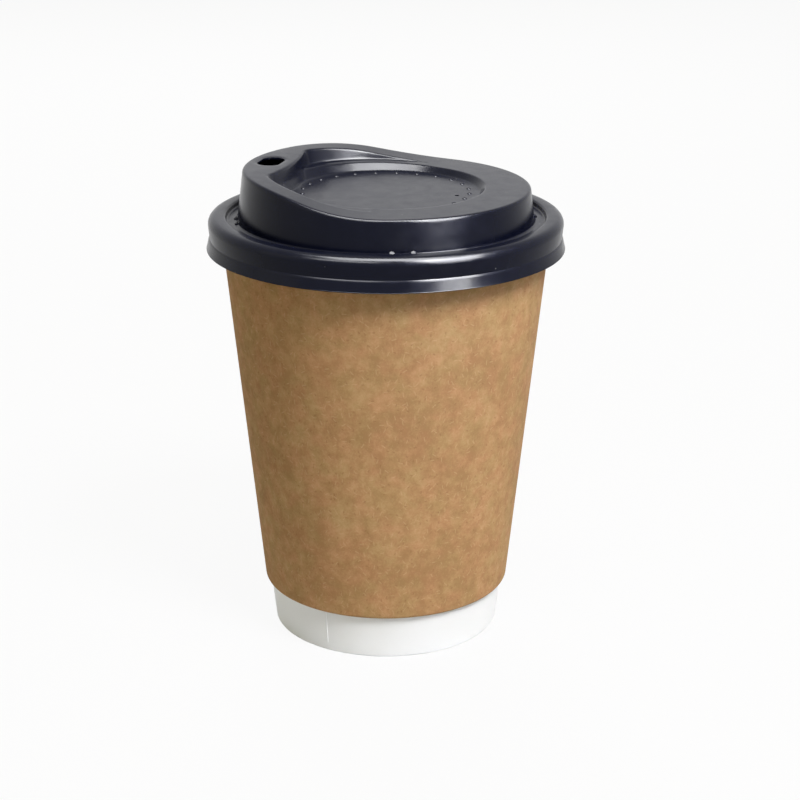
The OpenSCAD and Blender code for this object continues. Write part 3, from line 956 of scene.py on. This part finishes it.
class CUP_OT_stage(bpy.types.Operator):
    """Sets the floor, the lamps, the world and the camera"""
    bl_idname = "cup.stage"
    bl_label = "Stage"

    def execute(self, context):
        stage = context.scene.stage_settings
        self.floor(stage)
        self.world(context.scene, stage)
        self.lamp("key_lamp", stage.key, (0.34, 0.34), azimuth=53, elevation=50)
        fill = self.lamp("fill_lamp", stage.fill, (0.6, 0.6), azimuth=-55, elevation=20)
        fill.data.color = stage.fill_tint
        self.lamp("top_lamp", stage.top, (0.34, 0.34), azimuth=20, elevation=76)
        back = self.lamp("back_lamp", stage.back, (0.6, 0.6), azimuth=-160, elevation=32)
        back.visible_glossy = False
        self.card("right_card", 64 * stage.gloss, (0.7, 0.42), azimuth=68, elevation=54)
        self.card("top_card", 44 * stage.gloss, (0.9, 0.7), azimuth=15, elevation=78)
        self.card("front_card", 24 * stage.gloss, (0.7, 0.3), azimuth=-14, elevation=44)
        self.card("low_card", 60 * stage.gloss, (0.4, 0.15), azimuth=58, elevation=11.5)
        self.card("near_card", 80 * stage.gloss, (0.09, 0.075), azimuth=54, elevation=38.7, distance=0.1885)
        self.camera(context.scene, stage)
        context.scene.view_settings.view_transform = "Standard"
        return {"FINISHED"}

    def floor(self, stage):
        """A wide pale floor that is nearly white to the camera and keeps the shadow."""
        bm = bmesh.new()
        bmesh.ops.create_grid(bm, x_segments=1, y_segments=1, size=3)
        floor = add_object("floor", bm)
        material, tree, shader = new_material("floor")
        fill_inputs(tree, shader, {
            "Base Color": (*stage.floor, 1), "Roughness": 0.9, "Specular IOR Level": 0.1})
        glow = add_node(tree, "ShaderNodeEmission", {"Color": (1, 1, 1, 1), "Strength": 1.0})
        amount = calculate(tree, "MULTIPLY", self.seen(tree), stage.floor_white)
        mixed = add_node(tree, "ShaderNodeMixShader", {0: amount, 1: shader.outputs[0], 2: glow.outputs[0]})
        tree.links.new(mixed.outputs[0], tree.nodes["Material Output"].inputs[0])
        floor.data.materials.append(material)

    def seen(self, tree):
        """1 for rays from the camera, a mirror or glass."""
        path = add_node(tree, "ShaderNodeLightPath").outputs
        direct = calculate(tree, "ADD", path["Is Camera Ray"], path["Is Glossy Ray"])
        return calculate(tree, "ADD", direct, path["Is Transmission Ray"], clamp=True)

    def world(self, scene, stage):
        """White behind the cup, and a soft light from all round."""
        world = bpy.data.worlds.new("studio")
        scene.world = world
        world.use_nodes = True
        tree = world.node_tree
        light = blend_colours(tree, self.seen(tree), (*stage.ambient, 1), (1, 1, 1, 1))
        tree.links.new(light, tree.nodes["Background"].inputs["Color"])

    def lamp(self, name, power, size, azimuth, elevation, distance=LAMP_DISTANCE):
        """A lamp that faces the middle of the cup, in a direction given in degrees."""
        data = bpy.data.lights.new(name, "AREA")
        data.energy = power
        data.shape = "RECTANGLE"
        data.size, data.size_y = size
        lamp = bpy.data.objects.new(name, data)
        flat = math.cos(math.radians(elevation)) * at_angle(math.radians(azimuth))
        away = Vector((*flat, math.sin(math.radians(elevation))))
        lamp.location = away * distance + Vector((0, 0, (cup_low.z + lid_high.z) / 2))
        lamp.rotation_euler = away.to_track_quat("Z", "Y").to_euler()
        bpy.context.scene.collection.objects.link(lamp)
        return lamp

    def card(self, name, brightness, size, azimuth, elevation, distance=LAMP_DISTANCE):
        """A bright card that shows only as a highlight in the gloss."""
        card = self.lamp(name, brightness * math.pi * size[0] * size[1], size, azimuth, elevation, distance)
        card.visible_diffuse = False
        card.visible_camera = False

    def camera(self, scene, stage):
        """The camera, at the photograph's viewing angle."""
        data = bpy.data.cameras.new("camera")
        data.lens = stage.lens
        data.sensor_width = 36
        camera = bpy.data.objects.new("camera", data)
        flat = math.cos(stage.elevation) * at_angle(stage.azimuth)
        away = Vector((*flat, math.sin(stage.elevation)))
        turn = away.to_track_quat("Z", "Y").to_matrix()
        turn = turn @ Matrix.Rotation(stage.pan, 3, "Y") @ Matrix.Rotation(stage.tilt, 3, "X")
        turn = turn @ Matrix.Rotation(stage.roll, 3, "Z")
        place = away * stage.distance + Vector((0, 0, stage.aim_height))
        camera.matrix_world = Matrix.Translation(place) @ turn.to_4x4()
        scene.collection.objects.link(camera)
        scene.camera = camera


class CUP_PT_panel(bpy.types.Panel):
    """Lists the cup's pieces and sizes"""
    bl_idname = "CUP_PT_panel"
    bl_label = "Coffee Cup"
    bl_space_type = "VIEW_3D"
    bl_region_type = "UI"
    bl_category = "Coffee Cup"

    def draw(self, context):
        layout = self.layout
        for operator in OPERATORS:
            layout.operator(operator.bl_idname)
        for group in GROUPS:
            settings = getattr(context.scene, group)
            box = layout.box()
            for name in settings.bl_rna.properties.keys():
                if name not in ("rna_type", "name"):
                    box.prop(settings, name)


GROUPS = {"cup_sizes": CupSizes, "lid_sizes": LidSizes, "finishes": Finishes, "stage_settings": StageSettings}
OPERATORS = (CUP_OT_inner_cup, CUP_OT_base_disc, CUP_OT_outer_wrap, CUP_OT_lid, CUP_OT_stage)


def register():
    for cls in (*GROUPS.values(), *OPERATORS, CUP_PT_panel):
        bpy.utils.register_class(cls)
    for name, cls in GROUPS.items():
        setattr(bpy.types.Scene, name, bpy.props.PointerProperty(type=cls))


def unregister():
    for name in GROUPS:
        delattr(bpy.types.Scene, name)
    for cls in (CUP_PT_panel, *reversed(OPERATORS), *reversed(GROUPS.values())):
        bpy.utils.unregister_class(cls)


def main():
    register()
    bpy.ops.cup.inner_cup()
    bpy.ops.cup.base_disc()
    bpy.ops.cup.outer_wrap()
    bpy.ops.cup.lid()
    bpy.ops.cup.stage()


if __name__ == "__main__":
    main()
